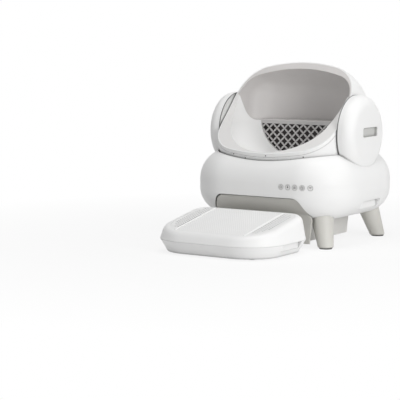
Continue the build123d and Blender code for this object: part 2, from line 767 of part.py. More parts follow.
def normal_rod(radius, spot, inner, outer):
    """Round bar along the outward direction of a button, between two distances from the surface."""
    point, outward, turn = spot
    rod = Rot(90, 0, 0) * Cylinder(radius, outer - inner)
    middle = point + outward * ((inner + outer) / 2)
    return Pos(*middle) * Rot(0, 0, turn) * rod


def scoop_block(margin):
    """Rounded block at the place of the right side scoop, grown by a margin."""
    side = BODY_HALF_WIDTH - side_inset(SCOOP_CENTRE_Z)
    form = Box(2 * (SCOOP_DEPTH + margin), SCOOP_WIDTH + 2 * margin, SCOOP_HEIGHT + 2 * margin)
    form = fillet(form.edges().filter_by(Axis.X), SCOOP_ROUND + margin)
    return Pos(side, SCOOP_CENTRE_Y, SCOOP_CENTRE_Z) * form


def bin_passage(gap):
    """Way of the waste bin through the housing's front and floor."""
    half = BIN_HALF_WIDTH + gap
    top = BIN_TOP + BAG_RING_HEIGHT + gap
    front = -BODY_HALF_DEPTH - OVERRUN
    slot = block((-half, front, 0), (half, BIN_BACK_Y + gap, top))
    wide = half + BIN_FLANGE
    return slot + block((-wide, front, 0), (wide, rail_front_y(), top))


def rail_front_y():
    return -BODY_HALF_DEPTH + BODY_BOTTOM_ROUND + CHASSIS_MARGIN


def leg_axis(sign_x, sign_y):
    return Pos(sign_x * LEG_TOP_X, sign_y * LEG_TOP_Y, 0)


def spigot_rod(radius, sign_x, sign_y):
    height = BODY_WALL + LEG_SPIGOT_HEIGHT + BODY_BOTTOM_ROUND / 4
    rod = Cylinder(radius, height, align=(Align.CENTER, Align.CENTER, Align.MAX))
    top = BODY_BOTTOM + BODY_WALL + LEG_SPIGOT_HEIGHT
    return Pos(0, 0, top) * leg_axis(sign_x, sign_y) * rod


def corners():
    """Name and signs of each leg."""
    return [(end + "_" + side, sx, sy) for end, sy in ENDS for side, sx in SIDES]


def make_body_shell():
    shell = pillow(0) - pillow(BODY_WALL)
    for sign in (-1, 1):
        wall = scoop_block(BODY_WALL) & pillow(0)
        shell = shell + to_side(wall, sign) - to_side(scoop_block(0), sign)
        slot = block(
            (POD_INNER_X - FIT_GAP, -BRACKET_HALF_WIDTH - FIT_GAP, BODY_TOP - BODY_TOP_ROUND),
            (POD_INNER_X + BRACKET_WALL + FIT_GAP, BRACKET_HALF_WIDTH + FIT_GAP, BODY_TOP),
        )
        shell -= to_side(slot, sign)
    shell -= barrel(-DRUM_GAP)
    depth = BODY_HALF_DEPTH + OVERRUN + DRAWER_SKIRT_Y + DRAWER_WALL + DRAWER_GAP
    front = upright(drawer_outline(DRAWER_GAP), DRAWER_SKIRT_Y + DRAWER_WALL + DRAWER_GAP)
    shell -= extrude(front, depth)
    shell -= bin_passage(DRAWER_GAP)
    for spot in button_spots():
        shell -= normal_rod(BUTTON_RADIUS + FIT_GAP, spot, -2 * BODY_WALL, OVERRUN)
    for name, sign_x, sign_y in corners():
        shell -= spigot_rod(LEG_SPIGOT_RADIUS + PRESS_SEAT, sign_x, sign_y)
    return shell - inlet_block(PRESS_SEAT)


def inlet_block(margin):
    """Block of the power inlet in the housing's rear, grown by a margin."""
    back = BODY_HALF_DEPTH - side_inset(INLET_Z)
    half = INLET_SIDE / 2 + margin
    return block(
        (INLET_X - half, back - INLET_DEPTH, INLET_Z - half),
        (INLET_X + half, back + BODY_WALL, INLET_Z + half),
    )


def make_power_inlet():
    back = BODY_HALF_DEPTH - side_inset(INLET_Z) + BODY_WALL
    well = rod_y(INLET_BORE_RADIUS, back - INLET_BORE_DEPTH, back, INLET_X, INLET_Z)
    pin = rod_y(INLET_PIN_RADIUS, back - INLET_BORE_DEPTH, back - BODY_WALL, INLET_X, INLET_Z)
    return inlet_block(0) - well + pin


def make_chassis_plate():
    inset = BODY_BOTTOM_ROUND + CHASSIS_MARGIN
    plate = extrude(
        RectangleRounded(
            2 * (BODY_HALF_WIDTH - inset), 2 * (BODY_HALF_DEPTH - inset), BODY_CORNER - inset
        ),
        CHASSIS_WALL,
    )
    plate = Pos(0, 0, BODY_BOTTOM + BODY_WALL) * plate - bin_passage(DRAWER_GAP)
    for name, sign_x, sign_y in corners():
        plate -= spigot_rod(LEG_SPIGOT_RADIUS + FIT_GAP, sign_x, sign_y)
    return plate


def make_leg(sign_x, sign_y):
    """Tapered, splayed leg, trimmed to the housing's underside, with a spigot into it."""
    reach = BODY_BOTTOM + BODY_WALL - LEG_PAD
    rise = reach + BODY_BOTTOM_ROUND / 2
    grow = rise / reach
    foot = Pos(sign_x * LEG_FOOT_X, sign_y * LEG_FOOT_Y, LEG_PAD) * Circle(LEG_FOOT_RADIUS)
    x = LEG_FOOT_X + (LEG_TOP_X - LEG_FOOT_X) * grow
    y = LEG_FOOT_Y + (LEG_TOP_Y - LEG_FOOT_Y) * grow
    radius = LEG_FOOT_RADIUS + (LEG_TOP_RADIUS - LEG_FOOT_RADIUS) * grow
    top = Pos(sign_x * x, sign_y * y, LEG_PAD + rise) * Circle(radius)
    leg = loft([foot, top], ruled=True)
    leg = fillet(leg.edges().group_by(Axis.Z)[0], LEG_FOOT_ROUND)
    leg = leg - pillow(0) + spigot_rod(LEG_SPIGOT_RADIUS, sign_x, sign_y)
    return leg - leg_screw(LEG_SCREW_RADIUS + PRESS_SEAT, sign_x, sign_y)


def leg_screw(radius, sign_x, sign_y):
    shank = Cylinder(radius, LEG_SCREW_LENGTH, align=(Align.CENTER, Align.CENTER, Align.MAX))
    top = BODY_BOTTOM + BODY_WALL + LEG_SPIGOT_HEIGHT
    return Pos(0, 0, top) * leg_axis(sign_x, sign_y) * shank


def make_leg_screws():
    screws = []
    for name, sign_x, sign_y in corners():
        head = Cylinder(
            LEG_SCREW_HEAD_RADIUS, LEG_SCREW_HEAD, align=(Align.CENTER, Align.CENTER, Align.MIN)
        )
        top = BODY_BOTTOM + BODY_WALL + LEG_SPIGOT_HEIGHT
        head = Pos(0, 0, top) * leg_axis(sign_x, sign_y) * head
        screws.append(head + leg_screw(LEG_SCREW_RADIUS, sign_x, sign_y))
    return screws


def make_leg_foot_pads():
    pad = Cylinder(
        LEG_FOOT_RADIUS - LEG_PAD_INSET, LEG_PAD, align=(Align.CENTER, Align.CENTER, Align.MIN)
    )
    return [Pos(sx * LEG_FOOT_X, sy * LEG_FOOT_Y, 0) * pad for name, sx, sy in corners()]


def make_main_board():
    """Board on four posts at the back of the chassis."""
    floor_z = BODY_BOTTOM + BODY_WALL + CHASSIS_WALL
    half = MAIN_BOARD_DEPTH / 2
    low = floor_z + MAIN_BOARD_RISE
    board = block(
        (-BOARD_HALF_LENGTH, MAIN_BOARD_Y - half, low),
        (BOARD_HALF_LENGTH, MAIN_BOARD_Y + half, low + BOARD_WALL),
    )
    post = Cylinder(
        MAIN_BOARD_POST_RADIUS, MAIN_BOARD_RISE, align=(Align.CENTER, Align.CENTER, Align.MIN)
    )
    reach_x = BOARD_HALF_LENGTH - MAIN_BOARD_POST_INSET
    reach_y = half - MAIN_BOARD_POST_INSET
    for x in (-reach_x, reach_x):
        for y in (-reach_y, reach_y):
            board += Pos(x, MAIN_BOARD_Y + y, floor_z) * post
    return board


def make_load_cells():
    floor_z = BODY_BOTTOM + BODY_WALL + CHASSIS_WALL
    bar = Box(CELL_WIDTH, CELL_LENGTH, CELL_HEIGHT, align=(Align.CENTER, Align.CENTER, Align.MIN))
    return [Pos(sx * CELL_X, sy * CELL_Y, floor_z) * bar for name, sx, sy in corners()]


# Waste drawer


def rail_top_z():
    return BIN_TOP - BIN_FLANGE_WALL - FIT_GAP


def make_drawer_rail():
    """Right-hand rail on the chassis under the bin's flange."""
    floor_z = BODY_BOTTOM + BODY_WALL + CHASSIS_WALL
    start = BIN_HALF_WIDTH + DRAWER_GAP
    return block((start, rail_front_y(), floor_z), (start + RAIL_WIDTH, BIN_BACK_Y, rail_top_z()))


def make_drawer_front():
    """Bowed panel: the housing's rounded front set back, with a straight skirt below."""
    centre_y = -BODY_HALF_DEPTH + BODY_BOTTOM_ROUND
    centre_z = BODY_BOTTOM + BODY_BOTTOM_ROUND

    def arc(radius, skirt_y):
        low_z = centre_z - sqrt(radius**2 - (skirt_y - centre_y) ** 2)
        top_y = centre_y - sqrt(radius**2 - (centre_z - DRAWER_TOP_Z) ** 2)
        mid_z = (low_z + DRAWER_TOP_Z) / 2
        mid_y = centre_y - sqrt(radius**2 - (centre_z - mid_z) ** 2)
        return (skirt_y, low_z), (mid_y, mid_z), (top_y, DRAWER_TOP_Z)

    outer = arc(BODY_BOTTOM_ROUND - DRAWER_SETBACK, DRAWER_SKIRT_Y)
    back_y = DRAWER_SKIRT_Y + DRAWER_WALL
    inner = arc(BODY_BOTTOM_ROUND - DRAWER_SETBACK - DRAWER_WALL, back_y)
    edges = Curve() + [
        ThreePointArc(*outer),
        Line(outer[2], inner[2]),
        ThreePointArc(*inner),
        Polyline(inner[0], (back_y, BIN_BOTTOM), (DRAWER_SKIRT_Y, BIN_BOTTOM), outer[0]),
    ]
    bar = extrude(Plane.YZ * make_face(edges), DRAWER_LOW_HALF_WIDTH + OVERRUN, both=True)
    panel = bar & extrude(upright(drawer_outline(0), back_y), BODY_HALF_DEPTH)
    pull = Box(2 * DRAWER_PULL_HALF_WIDTH, 2 * DRAWER_PULL_DEPTH, DRAWER_PULL_HEIGHT)
    pull = fillet(pull.edges().filter_by(Axis.Y), DRAWER_PULL_DEPTH)
    panel -= Pos(0, DRAWER_SKIRT_Y, DRAWER_PULL_Z) * pull
    return panel - drawer_screw_rods(DRAWER_SCREW_RADIUS + PRESS_SEAT)


def bin_form(inset):
    """Tapered bin with a straight front, drawn in by an inset on its sides and floor."""
    front_y = DRAWER_SKIRT_Y + DRAWER_WALL

    def section(draft, z):
        half = BIN_HALF_WIDTH - draft - inset
        back = BIN_BACK_Y - draft - inset
        length = back - front_y - inset
        plan = RectangleRounded(2 * half, length, BIN_CORNER - inset)
        return Pos(0, back - length / 2, z) * plan

    return loft([section(BIN_DRAFT, BIN_BOTTOM + inset), section(0, BIN_TOP)], ruled=True)


def make_waste_bin():
    front_y = DRAWER_SKIRT_Y + DRAWER_WALL
    half = BIN_HALF_WIDTH + BIN_FLANGE
    flange = block(
        (-half, front_y, BIN_TOP - BIN_FLANGE_WALL), (half, BIN_BACK_Y + BIN_FLANGE, BIN_TOP)
    )
    flange = fillet(flange.edges().filter_by(Axis.Z).group_by(Axis.Y)[-1], BIN_CORNER)
    return bin_form(0) + flange - bin_form(BIN_WALL) - drawer_screw_rods(DRAWER_SCREW_RADIUS)


def make_bag_ring():
    """Loop on the bin's rim that holds a bag's edge."""
    rim = Sketch() + bin_form(0).faces().sort_by(Axis.Z)[-1]
    return extrude(rim - offset(rim, -BAG_RING_WIDTH), BAG_RING_HEIGHT)


def drawer_screw_spots():
    heights = (DRAWER_SCREW_LOW_Z, DRAWER_SCREW_HIGH_Z)
    return [(x, z) for x in (-DRAWER_SCREW_X, DRAWER_SCREW_X) for z in heights]


def drawer_screw_rods(radius):
    back_y = DRAWER_SKIRT_Y + DRAWER_WALL
    rods = []
    for x, z in drawer_screw_spots():
        rods.append(rod_y(radius, back_y - DRAWER_SCREW_BITE, back_y + BIN_WALL, x, z))
    return Part() + rods


def make_drawer_screws():
    inner_y = DRAWER_SKIRT_Y + DRAWER_WALL + BIN_WALL
    screws = []
    for x, z in drawer_screw_spots():
        head = rod_y(DRAWER_SCREW_HEAD_RADIUS, inner_y, inner_y + DRAWER_SCREW_HEAD, x, z)
        shank = rod_y(DRAWER_SCREW_RADIUS, inner_y - BIN_WALL - DRAWER_SCREW_BITE, inner_y, x, z)
        screws.append(head + shank)
    return screws


# Buttons and their board


def button_inner():
    return BUTTON_PROUD - BUTTON_HEIGHT


def make_button(spot):
    return normal_rod(BUTTON_RADIUS, spot, button_inner(), BUTTON_PROUD)


def make_button_switches():
    switches = []
    for point, outward, turn in button_spots():
        outer = button_inner() - BUTTON_TRAVEL - FIT_GAP
        middle = point + outward * ((outer - BOARD_SETBACK) / 2)
        form = Box(SWITCH_SIDE, outer + BOARD_SETBACK, SWITCH_SIDE)
        switches.append(Pos(*middle) * Rot(0, 0, turn) * form)
    return switches


def make_control_board():
    """Curved strip behind the buttons, on posts from the housing's front wall."""
    outer = RectangleRounded(
        2 * (BODY_HALF_WIDTH - BOARD_SETBACK),
        2 * (BODY_HALF_DEPTH - BOARD_SETBACK),
        BODY_CORNER - BOARD_SETBACK,
    )
    inner = RectangleRounded(
        2 * (BODY_HALF_WIDTH - BOARD_SETBACK - BOARD_WALL),
        2 * (BODY_HALF_DEPTH - BOARD_SETBACK - BOARD_WALL),
        BODY_CORNER - BOARD_SETBACK - BOARD_WALL,
    )
    ring = Pos(0, 0, BUTTON_Z - BOARD_HEIGHT / 2) * extrude(outer - inner, BOARD_HEIGHT)
    start = BUTTON_FIRST_X - BOARD_END_MARGIN
    end = BUTTON_FIRST_X + BUTTON_PITCH * (BUTTON_COUNT - 1) + BOARD_END_MARGIN
    strip = ring & block((start, -BODY_HALF_DEPTH, 0), (end, 0, BODY_TOP))
    for spot in button_spots()[:-1]:
        point, outward, turn = spot
        half = turn + degrees(BUTTON_PITCH / 2 / BODY_CORNER) if turn else 0
        along = Vector(cos(radians(half)), sin(radians(half)), 0) * (BUTTON_PITCH / 2)
        post = normal_rod(BOARD_POST_RADIUS, (point + along, outward, turn), -BOARD_SETBACK, 0)
        strip += post & pillow(BODY_WALL)
    return strip


# Entry step


def step_centre_y():
    return (STEP_BACK_Y + STEP_FRONT_Y) / 2


def step_slope():
    return atan((STEP_BACK_Z - STEP_FRONT_Z) / STEP_DEPTH)


def step_outline(inset, stretch=1.0):
    """Plan of the step, drawn in by an inset; stretch lengthens it along the slope."""
    half_width = STEP_WIDTH / 2 - inset
    half_depth = (STEP_DEPTH / 2 - inset) * stretch
    face = Rectangle(2 * half_width, 2 * half_depth)
    front = face.vertices().group_by(Axis.Y)[0]
    face = fillet(front, STEP_FRONT_CORNER - inset)
    back = face.vertices().group_by(Axis.Y)[-1]
    return fillet(back, STEP_BACK_CORNER - inset)


def step_plan(inset, z):
    return Pos(0, step_centre_y(), z) * step_outline(inset)


def step_plane(depth):
    """Plane of the inclined top, lowered by a depth along its normal."""
    slope = step_slope()
    up = Vector(0, -sin(slope), cos(slope))
    middle = Vector(0, step_centre_y(), (STEP_FRONT_Z + STEP_BACK_Z) / 2) - up * depth
    return Plane(middle, x_dir=(1, 0, 0), z_dir=up)


def step_top(inset, depth):
    return step_plane(depth) * step_outline(inset, 1 / cos(step_slope()))


def step_hull(inset):
    """Form of the cover with its rounded upper edge, drawn in by an inset on all sides."""
    low = step_plan(inset, STEP_PARTING_Z + FIT_GAP)
    hull = loft([low, step_top(STEP_TOP_INSET + inset, inset)], ruled=True)
    return fillet(hull.faces().sort_by(Axis.Z)[-1].edges(), STEP_TOP_ROUND - inset)


def notch_block(margin):
    """Finger notch in the tray's right wall, under the cover's edge, grown by a margin."""
    half = STEP_NOTCH_WIDTH / 2 + margin
    low = STEP_PARTING_Z - STEP_NOTCH_HEIGHT - margin
    y = step_centre_y() + STEP_NOTCH_Y
    form = block(
        (STEP_WIDTH / 2 - STEP_NOTCH_DEPTH - margin, y - half, low),
        (STEP_WIDTH / 2 + OVERRUN, y + half, STEP_PARTING_Z + STEP_LIP + OVERRUN),
    )
    low_edges = form.edges().filter_by(Axis.X).group_by(Axis.Z)[0]
    return fillet(low_edges, STEP_NOTCH_ROUND + margin)


def rib_strip(x_from, x_to):
    """Upright slab between two X positions, over the whole step."""
    return block((x_from, STEP_FRONT_Y, 0), (x_to, STEP_BACK_Y, 2 * STEP_BACK_Z))


def make_step_cover():
    cover = step_hull(0) - step_hull(STEP_WALL)
    inset = STEP_TOP_INSET + STEP_PANEL_MARGIN
    pan = extrude(step_top(inset, STEP_PAN_DEPTH), STEP_PAN_DEPTH + OVERRUN)
    for sign in (-1, 1):
        x = sign * STEP_RIB_X
        pan -= rib_strip(x - STEP_RIB_WIDTH / 2, x + STEP_RIB_WIDTH / 2)
    cover -= pan
    window = extrude(step_top(inset + STEP_WINDOW_MARGIN, 2 * STEP_WALL), 2 * STEP_WALL)
    start = STEP_RIB_X + STEP_RIB_WIDTH / 2 + STEP_WINDOW_MARGIN
    window -= rib_strip(-start, start)
    return cover - window


def step_panel(wall, x_from, x_to):
    """Thin plate lying in the cover's pan between two X positions."""
    inset = STEP_TOP_INSET + STEP_PANEL_MARGIN + FIT_GAP
    plate = extrude(step_top(inset, STEP_PAN_DEPTH), wall)
    return plate & rib_strip(x_from, x_to)


def make_step_mat():
    half = STEP_RIB_X - STEP_RIB_WIDTH / 2 - FIT_GAP
    return step_panel(STEP_MAT_WALL, -half, half)


def make_step_grille():
    """Right-hand grille: a plate with columns of slots."""
    start = STEP_RIB_X + STEP_RIB_WIDTH / 2 + FIT_GAP
    plate = step_panel(STEP_GRILLE_WALL, start, STEP_WIDTH / 2)
    inset = STEP_TOP_INSET + STEP_PANEL_MARGIN + 2 * STEP_WINDOW_MARGIN
    field = step_outline(inset, 1 / cos(step_slope()))
    slot = SlotOverall(STEP_SLOT_LENGTH, STEP_SLOT_WIDTH)
    first = STEP_RIB_X + STEP_RIB_WIDTH / 2 + STEP_WINDOW_MARGIN + STEP_SLOT_LENGTH / 2
    rows = int(STEP_DEPTH / 2 / STEP_SLOT_PITCH)
    cutters = []
    for column in range(STEP_SLOT_COLUMNS):
        for row in range(-rows, rows + 1):
            spot = Pos(first + column * STEP_SLOT_COLUMN, row * STEP_SLOT_PITCH) * slot
            kept = spot & field
            if kept and kept.area > slot.area * STEP_SLOT_KEPT_SHARE:
                cutters.append(spot)
    holes = step_plane(STEP_PAN_DEPTH) * (Sketch() + cutters)
    return plate - extrude(holes, STEP_GRILLE_WALL)


def make_step_base():
    """Tray under the cover, with a lip that keeps the cover in place and two finger notches."""
    outer = loft(
        [step_plan(STEP_BASE_INSET, STEP_BASE_BOTTOM), step_plan(0, STEP_PARTING_Z)], ruled=True
    )
    inner = loft(
        [
            step_plan(STEP_BASE_INSET + STEP_WALL, STEP_BASE_BOTTOM + STEP_WALL),
            step_plan(STEP_WALL, STEP_PARTING_Z),
        ],
        ruled=True,
    )
    lip_inset = 2 * STEP_WALL + FIT_GAP
    ring = step_outline(lip_inset) - step_outline(lip_inset + STEP_WALL)
    low = STEP_PARTING_Z - 2 * STEP_LIP
    buried = extrude(Pos(0, step_centre_y(), low) * ring, 2 * STEP_LIP) & outer
    lip = buried + extrude(Pos(0, step_centre_y(), STEP_PARTING_Z) * ring, STEP_LIP)
    tray = outer - inner + lip
    for sign in (-1, 1):
        pocket = to_side(notch_block(STEP_WALL), sign) & outer
        tray = tray + pocket - to_side(notch_block(0), sign)
    return tray


def make_step_feet():
    pad = Cylinder(
        STEP_FOOT_RADIUS, STEP_BASE_BOTTOM, align=(Align.CENTER, Align.CENTER, Align.MIN)
    )
    spots = [(x, y) for x in (-STEP_FOOT_X, STEP_FOOT_X) for y in (-STEP_FOOT_Y, STEP_FOOT_Y)]
    return [Pos(x, step_centre_y() + y, 0) * pad for x, y in spots]


def make_all():
    """Every node of the object by name, as a piece or a list of equal pieces."""
    nodes = {
        "body_shell": make_body_shell(),
        "chassis_plate": make_chassis_plate(),
        "leg_foot_pads": make_leg_foot_pads(),
        "leg_screws": make_leg_screws(),
        "main_board": make_main_board(),
        "load_cells": make_load_cells(),
        "power_inlet": make_power_inlet(),
        "drive_motor": make_drive_motor(),
        "motor_plate": make_motor_plate(),
        "drive_pinion": make_drive_pinion(),
        "position_sensor": make_position_sensor(),
        "drum_shell": make_drum_shell(),
        "drum_rim_screws": make_drum_rim_screws(),
        "hood_liner": make_hood_liner(),
        "litter_bowl": make_litter_bowl(),
        "sieve_grate": make_sieve_grate(),
        "clump_tray": make_clump_tray(),
        "drum_gear": make_drum_gear(),
        "drawer_front": make_drawer_front(),
        "waste_bin": make_waste_bin(),
        "bag_ring": make_bag_ring(),
        "drawer_screws": make_drawer_screws(),
        "control_board": make_control_board(),
        "button_switches": make_button_switches(),
        "step_base": make_step_base(),
        "step_cover": make_step_cover(),
        "step_mat": make_step_mat(),
        "step_feet": make_step_feet(),
    }
    for name, sign_x, sign_y in corners():
        nodes[name + "_leg"] = make_leg(sign_x, sign_y)
    paired = {
        "pod_cover": make_pod_cover(),
        "grip_insert": make_grip_insert(),
        "pod_bracket": make_pod_bracket(),
        "bearing_bush": make_bearing_bush(),
        "trunnion": make_trunnion(),
        "drawer_rail": make_drawer_rail(),
        "step_grille": make_step_grille(),
    }
    for side, sign in SIDES:
        for name, piece in paired.items():
            nodes[side + "_" + name] = to_side(piece, sign)
    for number, spot in enumerate(button_spots(), start=1):
        nodes["button_" + str(number)] = make_button(spot)
    return nodes


os.makedirs("parts", exist_ok=True)
for node, made in make_all().items():
    pieces = made if isinstance(made, list) else [made]
    solids = [Pos(0, FRAME_SHIFT_Y, 0) * solid for piece in pieces for solid in piece.solids()]
    shape = solids[0] if len(solids) == 1 else Compound(children=solids)
    print(node, round(shape.volume), len(solids), shape.is_valid)
    export_step(shape, os.path.join("parts", node + ".step"))
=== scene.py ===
# Looks of the open-top self-cleaning litter box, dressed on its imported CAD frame, in metres

import json
import math

import bmesh
import bpy
from mathutils import Matrix, Vector


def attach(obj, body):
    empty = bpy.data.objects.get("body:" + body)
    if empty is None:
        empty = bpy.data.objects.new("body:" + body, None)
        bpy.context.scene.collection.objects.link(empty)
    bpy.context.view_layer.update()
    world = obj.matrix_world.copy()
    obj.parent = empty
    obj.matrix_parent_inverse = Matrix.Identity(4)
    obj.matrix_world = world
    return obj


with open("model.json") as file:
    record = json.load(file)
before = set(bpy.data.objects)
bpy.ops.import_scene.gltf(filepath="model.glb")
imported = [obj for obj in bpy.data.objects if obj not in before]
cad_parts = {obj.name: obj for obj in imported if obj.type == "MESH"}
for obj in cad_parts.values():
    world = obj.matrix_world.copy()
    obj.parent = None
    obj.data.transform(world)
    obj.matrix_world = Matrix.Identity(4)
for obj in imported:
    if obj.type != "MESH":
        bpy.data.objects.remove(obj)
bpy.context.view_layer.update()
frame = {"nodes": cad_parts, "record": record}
scene = bpy.context.scene
nodes = frame["nodes"]

# Places and sizes that follow the CAD frame
SHIFT_Y = 0.175
FRONT_FLAT_X = 0.143
FRONT_FLAT_Y = 0.111
FRONT_CORNER = 0.175
BUTTON_COUNT = 5
BUTTON_FIRST_X = 0.104
BUTTON_PITCH = 0.0276
BUTTON_Z = 0.220
BUTTON_FACE = 0.0004
STEP_CENTRE_Y = -0.2885
STEP_MID_Z = 0.1085
STEP_RISE = 0.065
STEP_RUN = 0.345
STEP_SLOPE = math.atan2(STEP_RISE, STEP_RUN)
RIB_X = 0.140
MAT_EDGE_X = 0.1367
MAT_HALF_X = 0.2037
MAT_HALF_Y = 0.1366
MAT_FRONT_CORNER = 0.1037
MAT_BACK_CORNER = 0.0397
MOUTH_CENTRE_Y = -0.5895
MOUTH_CENTRE_Z = 1.1453
MOUTH_RADIUS = 0.9605
AXIS_Z = 0.398

# Sizes of the pieces made here
MM = 0.001
# Painted shade: a thin dark strip standing in for the shadowed gap between each pod and the drum
GAP_SHADE_INNER_X = 0.2468
GAP_SHADE_OUTER_X = 0.2502
GAP_SHADE_INNER_RADIUS = 0.1388
GAP_SHADE_OUTER_RADIUS = 0.1402
GAP_SHADE_START_DEG = -27
GAP_SHADE_END_DEG = 207
GAP_SHADE_STEPS = 72
RING_RADIUS = 0.0088
RING_LINE = 0.0010
RING_END_DEG = 354
RING_STEPS = 60
SYMBOL_LINE = 0.0015
SYMBOL_HEIGHT = 0.00022
BUMP_PITCH = 0.0078
BUMP_ROW_SHARE = 0.866
BUMP_ROWS = 21
BUMP_COLUMNS = 19
BUMP_MARGIN = 0.004
BUMP_RADIUS = 0.0021
BUMP_HEIGHT = 0.0007
BUMP_BASE = -0.0003
BUMP_SIDES = 8
BUMP_RING_SHARES = ((1.0, 0.0), (0.72, 0.65))
BEAD_HALF_LENGTH = 0.134
BEAD_PROFILE = ((-0.0032, -0.0002), (-0.0026, 0.0009), (0.0, 0.0016), (0.0026, 0.0009), (0.0032, -0.0002))

# Settings shared by all plastics
DRIFT_SCALE = 5.0
DRIFT_DETAIL = 3.0
DRIFT_LOW = 0.3
DRIFT_HIGH = 0.7
# Painted shade in nooks, shared by all plastics: its reach, samples, and the occlusion values where it is
# full and where it ends
NOOK_REACH = 0.014
NOOK_SAMPLES = 6
NOOK_CLOSED = 0.25
NOOK_OPEN = 0.8
PATCH_SCALE = 38.0
PATCH_DETAIL = 4.0
GLOSS_SPREAD = 0.06
GRAIN_DETAIL = 2.0
GRAIN_STRENGTH = 0.35
EDGE_SAMPLES = 4
PLASTIC_IOR = 1.48
COAT_ROUGH = 0.22
SHELL_TONE = 0.012

# Settings of the metals and the circuit boards
METAL_TONE = 0.05
METAL_GRAIN = 900.0
METAL_GRAIN_DEPTH = 0.00002
BOARD_ROUGH = 0.3
BOARD_COAT = 0.3
TRACK_SCALE = 160.0
TRACK_START = 0.04
TRACK_END = 0.09
TRACK_GREEN = (0.16, 0.36, 0.18)

# Start and end of the painted shade band on the bowl's rim, beyond the mouth's radius
LIP_SHADE_START = 0.0006
LIP_SHADE_END = 0.0016

# Sockets of the range and mix nodes
RANGE_SOCKETS = ("From Min", "From Max", "To Min", "To Max")
MIX_FACTOR = 0
MIX_FIRST = 6
MIX_SECOND = 7
MIX_RESULT = 2


# Materials


def add(tree, kind, **values):
    """New node with its inputs and settings."""
    node = tree.nodes.new(kind)
    for name, value in values.items():
        if name in node.inputs:
            node.inputs[name].default_value = value
        else:
            setattr(node, name, value)
    return node


def noise(tree, coords, scale, detail):
    node = add(tree, "ShaderNodeTexNoise", Scale=scale, Detail=detail)
    tree.links.new(coords.outputs["Object"], node.inputs["Vector"])
    return node.outputs["Fac"]


def remap(tree, source, *limits):
    """A value taken from one range to another: from low, from high, to low, to high."""
    node = add(tree, "ShaderNodeMapRange", **dict(zip(RANGE_SOCKETS, limits)))
    tree.links.new(source, node.inputs["Value"])
    return node.outputs["Result"]


def two_tone(tree, source, low, low_colour, high, high_colour):
    """Colour that goes from one to another between two values of a source."""
    node = add(tree, "ShaderNodeValToRGB")
    first, last = node.color_ramp.elements
    first.position = low
    first.color = (*low_colour, 1)
    last.position = high
    last.color = (*high_colour, 1)
    tree.links.new(source, node.inputs["Fac"])
    return node.outputs["Color"]


def plastic(
    name,
    colour,
    rough=0.38,
    coat=0.0,
    tone=0.03,
    grain=1400.0,
    grain_depth=0.00006,
    edge=0.0012,
    nook_shade_tone=0.4,
):
    """Moulded plastic: soft tone drift, painted shade darkening its nooks and seams, uneven gloss, fine
    grain and rounded edges.
    """
    mat = bpy.data.materials.new(name)
    mat.use_nodes = True
    tree = mat.node_tree
    shader = tree.nodes["Principled BSDF"]
    link = tree.links.new
    coords = add(tree, "ShaderNodeTexCoord")
    low = [c * (1 - tone) for c in colour]
    high = [min(c * (1 + tone), 1.0) for c in colour]
    drift = two_tone(tree, noise(tree, coords, DRIFT_SCALE, DRIFT_DETAIL), DRIFT_LOW, low, DRIFT_HIGH, high)
    # Painted shade: the base colour is darkened where nearby surfaces hem it in, in nooks, seams and gaps
    nook_shade = add(tree, "ShaderNodeAmbientOcclusion", Distance=NOOK_REACH, samples=NOOK_SAMPLES)
    painted_nook_shade = add(tree, "ShaderNodeVectorMath", operation="SCALE", name="painted_nook_shade")
    link(drift, painted_nook_shade.inputs[0])
    link(remap(tree, nook_shade.outputs["AO"], NOOK_CLOSED, NOOK_OPEN, nook_shade_tone, 1.0), painted_nook_shade.inputs["Scale"])
    link(painted_nook_shade.outputs["Vector"], shader.inputs["Base Color"])
    patches = noise(tree, coords, PATCH_SCALE, PATCH_DETAIL)
    gloss = remap(tree, patches, 0.0, 1.0, rough - GLOSS_SPREAD, rough + GLOSS_SPREAD)
    link(gloss, shader.inputs["Roughness"])
    bump = add(tree, "ShaderNodeBump", Strength=GRAIN_STRENGTH, Distance=grain_depth)
    link(noise(tree, coords, grain, GRAIN_DETAIL), bump.inputs["Height"])
    if edge:
        soft = add(tree, "ShaderNodeBevel", Radius=edge, samples=EDGE_SAMPLES)
        link(soft.outputs["Normal"], bump.inputs["Normal"])
    link(bump.outputs["Normal"], shader.inputs["Normal"])
    shader.inputs["IOR"].default_value = PLASTIC_IOR
    if coat:
        shader.inputs["Coat Weight"].default_value = coat
        shader.inputs["Coat Roughness"].default_value = COAT_ROUGH
    return mat


def metal(name, colour, rough=0.34):
    """Plain metal with a faint grain and uneven gloss."""
    mat = plastic(name, colour, rough, tone=METAL_TONE, grain=METAL_GRAIN, grain_depth=METAL_GRAIN_DEPTH)
    mat.node_tree.nodes["Principled BSDF"].inputs["Metallic"].default_value = 1.0
    return mat


def board(name, colour):
    """Circuit board: dark solder mask with a net of paler tracks."""
    mat = plastic(name, colour, BOARD_ROUGH, coat=BOARD_COAT, edge=0.0)
    tree = mat.node_tree
    coords = add(tree, "ShaderNodeTexCoord")
    cells = add(tree, "ShaderNodeTexVoronoi", feature="DISTANCE_TO_EDGE", Scale=TRACK_SCALE)
    tree.links.new(coords.outputs["Object"], cells.inputs["Vector"])
    tracks = two_tone(tree, cells.outputs["Distance"], TRACK_START, TRACK_GREEN, TRACK_END, colour)
    tree.links.new(tracks, tree.nodes["Principled BSDF"].inputs["Base Color"])
    return mat


